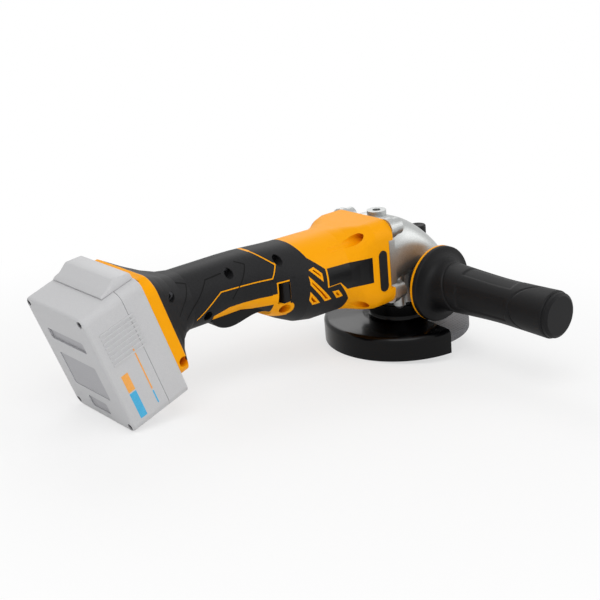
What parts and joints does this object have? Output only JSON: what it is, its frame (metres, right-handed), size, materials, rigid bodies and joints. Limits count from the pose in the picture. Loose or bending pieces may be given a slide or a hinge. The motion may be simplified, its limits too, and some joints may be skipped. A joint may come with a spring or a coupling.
{
  "type": "angle grinder",
  "caption": "Cordless paddle-switch angle grinder with a depressed-centre disc under a half guard, a ribbed side handle and a slide-on battery pack, lying on its guard rim and pack.",
  "frame": {"origin": "on the spindle axis, at the shoulder the disc is clamped against", "axes": "+Z square to the table the tool lies on, +X forwards from the pack towards the gear head, +Y to the tool's left"},
  "size_m": [0.3884, 0.235, 0.1197],
  "materials": {
    "yellow_shell": "satin moulded plastic",
    "black_cover": "matt soft-touch cover",
    "black_plastic": "moulded plastic",
    "cast_alloy": "cast and blasted",
    "bright_steel": "machined",
    "dark_steel": "blackened",
    "guard_paint": "gloss paint",
    "abrasive": "resin-bonded grit with fibre net",
    "laminations": "stacked laminations",
    "copper": "enamelled copper",
    "pack_grey": "pale moulded plastic",
    "cell_wrap": "shrink sleeve",
    "board_green": "coated board",
    "felt": "pressed felt"
  },
  "bodies": {
    "housing": {"air_baffle": "black_plastic", "bearing_cover": "cast_alloy", "case_screws": "dark_steel", "controller": "black_plastic", "dust_felt": "felt", "front_bearing": "bright_steel", "gear_case": "cast_alloy", "grip_cover_left": "black_cover", "grip_cover_right": "black_cover", "handle_boot": "black_cover", "handle_cap": "black_plastic", "handle_ring": "yellow_shell", "handle_stud": "dark_steel", "housing_left": "yellow_shell", "housing_right": "yellow_shell", "housing_screws": "dark_steel", "lock_off_spring": "bright_steel", "lock_spring": "bright_steel", "lower_bearing": "bright_steel", "pack_rail": "black_plastic", "paddle_pin": "bright_steel", "paddle_spring": "bright_steel", "rear_bearing": "bright_steel", "side_grip": "black_plastic", "side_pads": "black_cover", "stator_coils": "copper", "stator_core": "laminations", "switch_body": "black_plastic", "terminal_blades": "copper", "terminal_block": "black_plastic", "upper_bearing": "bright_steel", "wiring": "black_plastic"},
    "spindle": {"spindle": "bright_steel", "crown_gear": "dark_steel", "spindle_spacer": "bright_steel", "inner_flange": "bright_steel", "grinding_disc": "abrasive", "lock_nut": "bright_steel"},
    "rotor": {"rotor_shaft": "bright_steel", "rotor_core": "laminations", "fan": "black_plastic", "pinion": "dark_steel"},
    "spindle_lock": {"lock_button": "black_plastic", "lock_pin": "bright_steel"},
    "guard": {"guard": "guard_paint", "guard_band": "guard_paint", "band_screw": "dark_steel"},
    "paddle": {"paddle": "black_plastic"},
    "plunger": {"switch_plunger": "black_plastic"},
    "lock_off": {"lock_off": "black_plastic"},
    "pack": {"pack_upper": "pack_grey", "pack_lower": "pack_grey", "cells": "cell_wrap", "cell_holders": "pack_grey", "cell_links": "bright_steel", "pack_board": "board_green", "pack_contacts": "black_plastic", "pack_screws": "dark_steel", "latch_springs": "bright_steel"},
    "latch": {"release_latch": "black_plastic"}
  },
  "joints": [
    {"name": "spindle_spin", "type": "hinge", "parent": "housing", "child": "spindle", "pos_m": [0, 0, 0], "axis": [-0.1222, 0, 0.9925], "continuous": true},
    {"name": "rotor_spin", "type": "hinge", "parent": "housing", "child": "rotor", "pos_m": [-0.00721, 0, 0.05856], "axis": [0.9925, 0, 0.1222], "continuous": true},
    {"name": "lock_press", "type": "slide", "parent": "housing", "child": "spindle_lock", "axis": [0.1222, 0, -0.9925], "range_m": [0, 0.003], "stiffness_N_per_m": 800, "deforming": ["lock_spring"]},
    {"name": "guard_swing", "type": "hinge", "parent": "housing", "child": "guard", "pos_m": [0, 0, 0], "axis": [-0.1222, 0, 0.9925], "range_deg": [-90, 90]},
    {"name": "paddle_pull", "type": "hinge", "parent": "housing", "child": "paddle", "pos_m": [-0.20341, 0, 0.03994], "axis": [0, -1, 0], "range_deg": [0, 6], "stiffness_Nm_per_rad": 3, "deforming": ["paddle_spring"]},
    {"name": "plunger_press", "type": "slide", "parent": "housing", "child": "plunger", "axis": [-0.1222, 0, 0.9925], "range_m": [0, 0.00387]},
    {"name": "lock_off_slide", "type": "slide", "parent": "housing", "child": "lock_off", "axis": [-0.9925, 0, -0.1222], "range_m": [0, 0.0025], "stiffness_N_per_m": 600, "deforming": ["lock_off_spring"]},
    {"name": "pack_slide", "type": "slide", "parent": "housing", "child": "pack", "axis": [-0.4071, 0, 0.9134], "range_m": [0, 0.075]},
    {"name": "latch_press", "type": "slide", "parent": "pack", "child": "latch", "axis": [-0.9134, 0, -0.4071], "range_m": [0, 0.003], "stiffness_N_per_m": 800, "deforming": ["latch_springs"]}
  ],
  "couplings": [
    {"joint": "rotor_spin", "follows": "spindle_spin", "ratio": -3.5455},
    {"joint": "plunger_press", "follows": "paddle_pull", "m_per_rad": 0.037}
  ]
}
